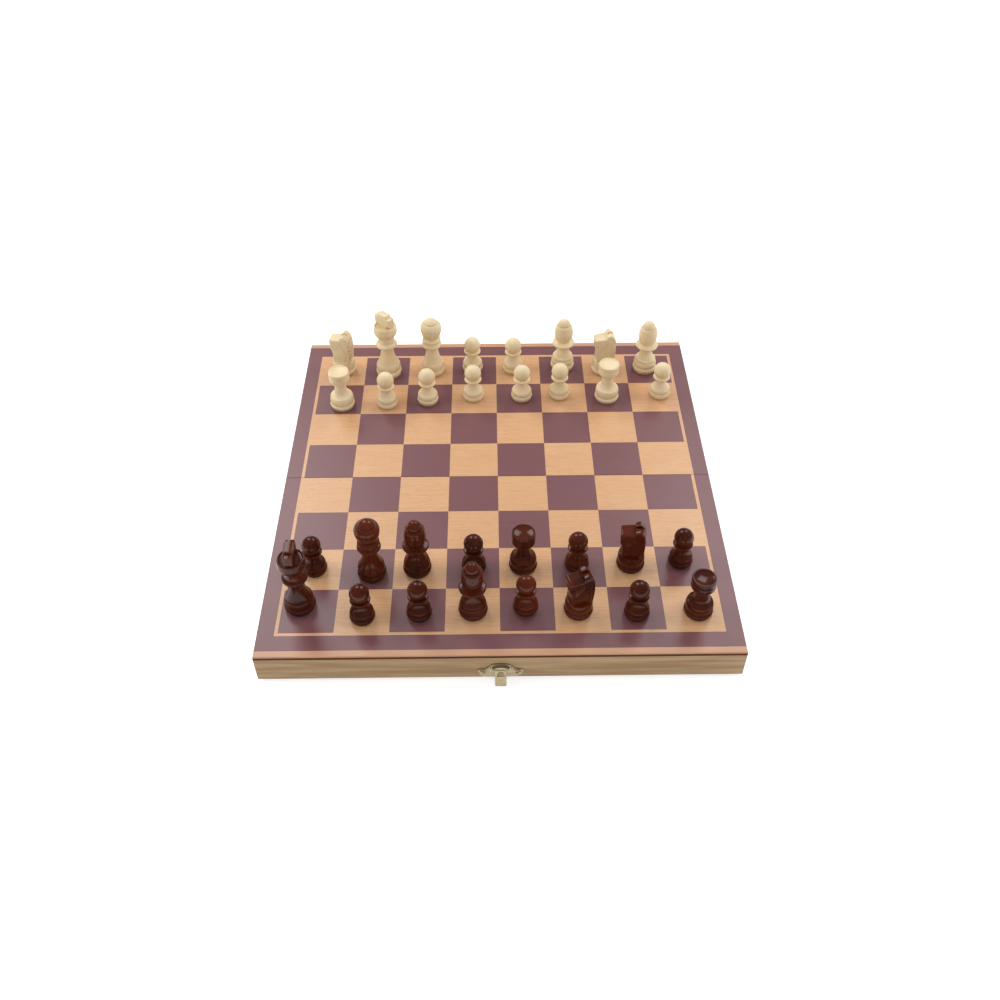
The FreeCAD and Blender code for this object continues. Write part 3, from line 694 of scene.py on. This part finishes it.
def knight_form(base, height):
    """A turned foot with a horse's head cut from a board, and its carving."""
    wood = height - felt_disc
    radius = base / 2

    def spot(shares):
        return shares[0] * radius, shares[1] * wood

    head = slab(horse_shares, radius, wood, horse_thickness, horse_edge)
    for vert in head.verts:
        vert.co.y *= horse_narrowing(vert.co.x)
    notch = bmesh.new()
    bmesh.ops.create_cone(notch, cap_ends=True, segments=3, radius1=ear_notch_depth,
                          radius2=ear_notch_depth, depth=4 * base)
    bmesh.ops.rotate(notch, verts=notch.verts, cent=(0, 0, 0), matrix=Matrix.Rotation(math.pi / 2, 3, "Y"))
    bmesh.ops.translate(notch, verts=notch.verts, vec=(0, 0, wood))
    head = carved(head, notch)
    head = carved(head, slit(mouth_width, mouth_length_share * radius, spot(mouth_shares), mouth_tilt))
    head = carved(head, side_dimples(eye_radius, spot(eye_shares), eye_depth))
    head = carved(head, side_dimples(nostril_radius, spot(nostril_shares), nostril_depth))
    jaw = flank_groove(spot(jaw_centre_shares), jaw_radius_share * radius, jaw_start, jaw_sweep)
    head = carved(head, jaw)
    mane = flank_groove(spot(mane_centre_shares), mane_radius_share * radius, mane_start, mane_sweep)
    head = carved(head, mane)
    for share in lock_heights_shares:
        lock = slit(lock_width, lock_length_share * radius, spot((lock_place_share, share)), lock_tilt)
        head = carved(head, lock)
    bmesh.ops.translate(head, verts=head.verts, vec=(0, 0, felt_disc))
    return joined(lathe(knight_foot_shares, base, height), head)


def felt_foot(base):
    """The disc of felt under a man, with a soft cut edge."""
    bm = bmesh.new()
    bmesh.ops.create_cone(bm, cap_ends=True, segments=turning_steps, radius1=base / 2 - felt_disc_inset,
                          radius2=base / 2 - felt_disc_inset, depth=felt_disc)
    bmesh.ops.translate(bm, verts=bm.verts, vec=(0, 0, felt_disc / 2))
    rims = [e for e in bm.edges if abs(e.verts[0].co.z - e.verts[1].co.z) < felt_disc / 2]
    bmesh.ops.bevel(bm, geom=rims, offset=felt_disc_edge, offset_type="OFFSET", affect="EDGES",
                    segments=rounded_steps, profile=0.5, material=-1, clamp_overlap=True)
    return bm


forms = {
    "king": king_form, "queen": queen_form, "bishop": bishop_form,
    "knight": knight_form, "rook": rook_form, "pawn": pawn_form,
}


def stand_men():
    """Every man on its felt disc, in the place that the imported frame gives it."""
    for node in sorted(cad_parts):
        colour, kind = (node.split("_") + [""])[:2]
        if colour not in ("dark", "light"):
            continue
        low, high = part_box(node)
        base = high.x - low.x
        height = high.z - low.z
        middle = (low + high) / 2
        turn = Matrix.Rotation(math.radians(man_turns.get(node, 0)), 4, "Z")
        place = Matrix.Translation((middle.x, middle.y, low.z)) @ turn
        wood, cloth = (dark_lacquer, dark_felt) if colour == "dark" else (pale_lacquer, pale_felt)
        bm = forms[kind](base, height)
        bmesh.ops.transform(bm, matrix=place, verts=bm.verts)
        body = piece(bm, node + "_wood", node, wood, made_smooth)
        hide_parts(node)
        disc = felt_foot(base)
        bmesh.ops.transform(disc, matrix=place, verts=disc.verts)
        piece(disc, node + "_felt", node, cloth, made_smooth)


def dress_half(half, end_name, body):
    """The printed panel, the rails, the steel, the tray bars and the hinge brass of one half box."""
    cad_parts[half + "_playing_panel"].data.materials.clear()
    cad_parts[half + "_playing_panel"].data.materials.append(veneer)
    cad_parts[half + "_steel_sheet"].data.materials.clear()
    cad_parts[half + "_steel_sheet"].data.materials.append(steel)
    softened(half + "_" + end_name + "_rail", body, pine_across, rail_edge)
    softened(half + "_hinge_rail", body, pine_across, rail_edge)
    softened(half + "_left_rail", body, pine_along, rail_edge)
    softened(half + "_right_rail", body, pine_along, rail_edge)
    softened(half + "_tray_dividers", body, bare_lime, rail_edge)
    softened("hinge_" + half + "_leaves", body, brass, brass_edge)
    softened("hinge_" + half + "_screws", body, brass, brass_edge)


def lay_lining(half, body):
    """A sheet of felt glued to the steel."""
    node = half + "_felt_lining"
    low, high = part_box(node)
    size = high - low
    bm = bmesh.new()
    bmesh.ops.create_grid(bm, x_segments=felt_cells[0], y_segments=felt_cells[1], size=0.5)
    bmesh.ops.scale(bm, verts=bm.verts, vec=(size.x, size.y, 1))
    middle = (low + high) / 2
    bmesh.ops.translate(bm, verts=bm.verts, vec=(middle.x, middle.y, high.z))
    bmesh.ops.reverse_faces(bm, faces=bm.faces)
    made = piece(bm, half + "_felt_sheet", body, lining_felt, made_smooth)
    thick = made.modifiers.new("felt_thickness", "SOLIDIFY")
    thick.thickness = size.z
    thick.offset = 1.0
    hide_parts(node)


def press_ridges():
    """Two raised ridges along each wing of the clasp plate."""
    low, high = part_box("clasp_plate")
    points, _ = outline(ridge_shares, high.x, high.z - low.z)
    for side, name in ((-1, "left"), (1, "right")):
        curve = bpy.data.curves.new("ridge", "CURVE")
        curve.dimensions = "3D"
        curve.bevel_depth = ridge_radius
        curve.bevel_resolution = ridge_steps
        curve.use_fill_caps = True
        for drop in ridge_drops:
            line = curve.splines.new("POLY")
            line.points.add(len(points) - 1)
            for spot, (x, z) in zip(line.points, points):
                spot.co = (side * x, -half_depth - clasp_sheet, low.z + z - drop, 1)
        wire_object = bpy.data.objects.new("ridge", curve)
        bm = bmesh.new()
        bm.from_mesh(bpy.data.meshes.new_from_object(wire_object))
        bpy.data.objects.remove(wire_object)
        bmesh.ops.recalc_face_normals(bm, faces=bm.faces)
        piece(bm, "clasp_ridges_" + name, "front_half", brass, ridge_smooth)


def brassware():
    """The clasp, the catch and the pins."""
    press_ridges()
    for node in ("clasp_plate", "clasp_pin", "clasp_nails", "hinge_pins"):
        softened(node, "front_half", brass, brass_edge)
    for node in ("catch_plate", "catch_nails"):
        softened(node, "rear_half", brass, brass_edge)
    softened("clasp_tongue", "clasp_tongue", brass, brass_edge)


dress_half("front", "clasp", "front_half")
dress_half("rear", "catch", "rear_half")
lay_lining("front", "front_half")
lay_lining("rear", "rear_half")
brassware()
stand_men()


# Stage
def white_floor():
    """A pale floor that the camera sees as white, and that keeps the object's soft shadow."""
    bm = bmesh.new()
    bmesh.ops.create_grid(bm, x_segments=1, y_segments=1, size=floor_half)
    mesh = bpy.data.meshes.new("floor")
    bm.to_mesh(mesh)
    bm.free()
    floor = bpy.data.objects.new("floor", mesh)
    floor.location.z = cad_low.z - floor_gap
    bpy.context.scene.collection.objects.link(floor)
    material = bpy.data.materials.new("white_paper")
    material.use_nodes = True
    tree = material.node_tree
    tree.nodes.clear()
    paper = add(tree, "ShaderNodeBsdfDiffuse", {"Color": linear("#e8e8e8")})
    glow = add(tree, "ShaderNodeEmission", {"Color": (1, 1, 1, 1), "Strength": paper_glow})
    lit = add(tree, "ShaderNodeAddShader", {0: paper.outputs[0], 1: glow.outputs[0]})
    path = add(tree, "ShaderNodeLightPath")
    mirrored = add(tree, "ShaderNodeMath", {
        0: path.outputs["Is Glossy Ray"], 1: path.outputs["Is Transmission Ray"]}, operation="MAXIMUM")
    seen = add(tree, "ShaderNodeMath", {
        0: path.outputs["Is Camera Ray"], 1: mirrored.outputs[0]}, operation="MAXIMUM")
    mixed = add(tree, "ShaderNodeMixShader", {0: seen.outputs[0], 1: paper.outputs[0], 2: lit.outputs[0]})
    add(tree, "ShaderNodeOutputMaterial", {"Surface": mixed.outputs[0]})
    mesh.materials.append(material)


def soft_light(name, place, size, energy, mirrored):
    """A rectangular soft lamp aimed at the middle of the board."""
    lamp = bpy.data.lights.new(name, "AREA")
    lamp.shape = "RECTANGLE"
    lamp.size, lamp.size_y = size
    lamp.energy = energy
    made = bpy.data.objects.new(name, lamp)
    made.location = place
    aim = Vector((0, 0, panel_top)) - Vector(place)
    made.rotation_euler = aim.to_track_quat("-Z", "Y").to_euler()
    made.visible_glossy = mirrored
    bpy.context.scene.collection.objects.link(made)


def studio():
    """Two softboxes behind and above that shine in the varnish, with lamps on both sides and in front."""
    world = bpy.data.worlds.new("studio")
    bpy.context.scene.world = world
    world.use_nodes = True
    tree = world.node_tree
    tree.nodes.clear()
    sky = add(tree, "ShaderNodeBackground", {"Color": (1, 1, 1, 1), "Strength": sky_strength})
    add(tree, "ShaderNodeOutputWorld", {"Surface": sky.outputs[0]})
    for name, settings in lamps.items():
        soft_light(name, *settings)


def photograph_camera():
    """The view of the photograph, as measured from the squares."""
    data = bpy.data.cameras.new("camera")
    data.lens = camera_lens
    data.sensor_width = camera_sensor
    made = bpy.data.objects.new("camera", data)
    made.location = camera_place + Vector((0, 0, panel_top))
    tilt = Matrix.Rotation(math.pi / 2 - camera_elevation, 3, "X")
    swing = Matrix.Rotation(-camera_azimuth, 3, "Z")
    lean = Matrix.Rotation(camera_roll, 3, "Z")
    made.rotation_euler = (swing @ tilt @ lean).to_euler()
    bpy.context.scene.collection.objects.link(made)
    bpy.context.scene.camera = made


white_floor()
studio()
photograph_camera()
bpy.context.scene.view_settings.view_transform = "Standard"
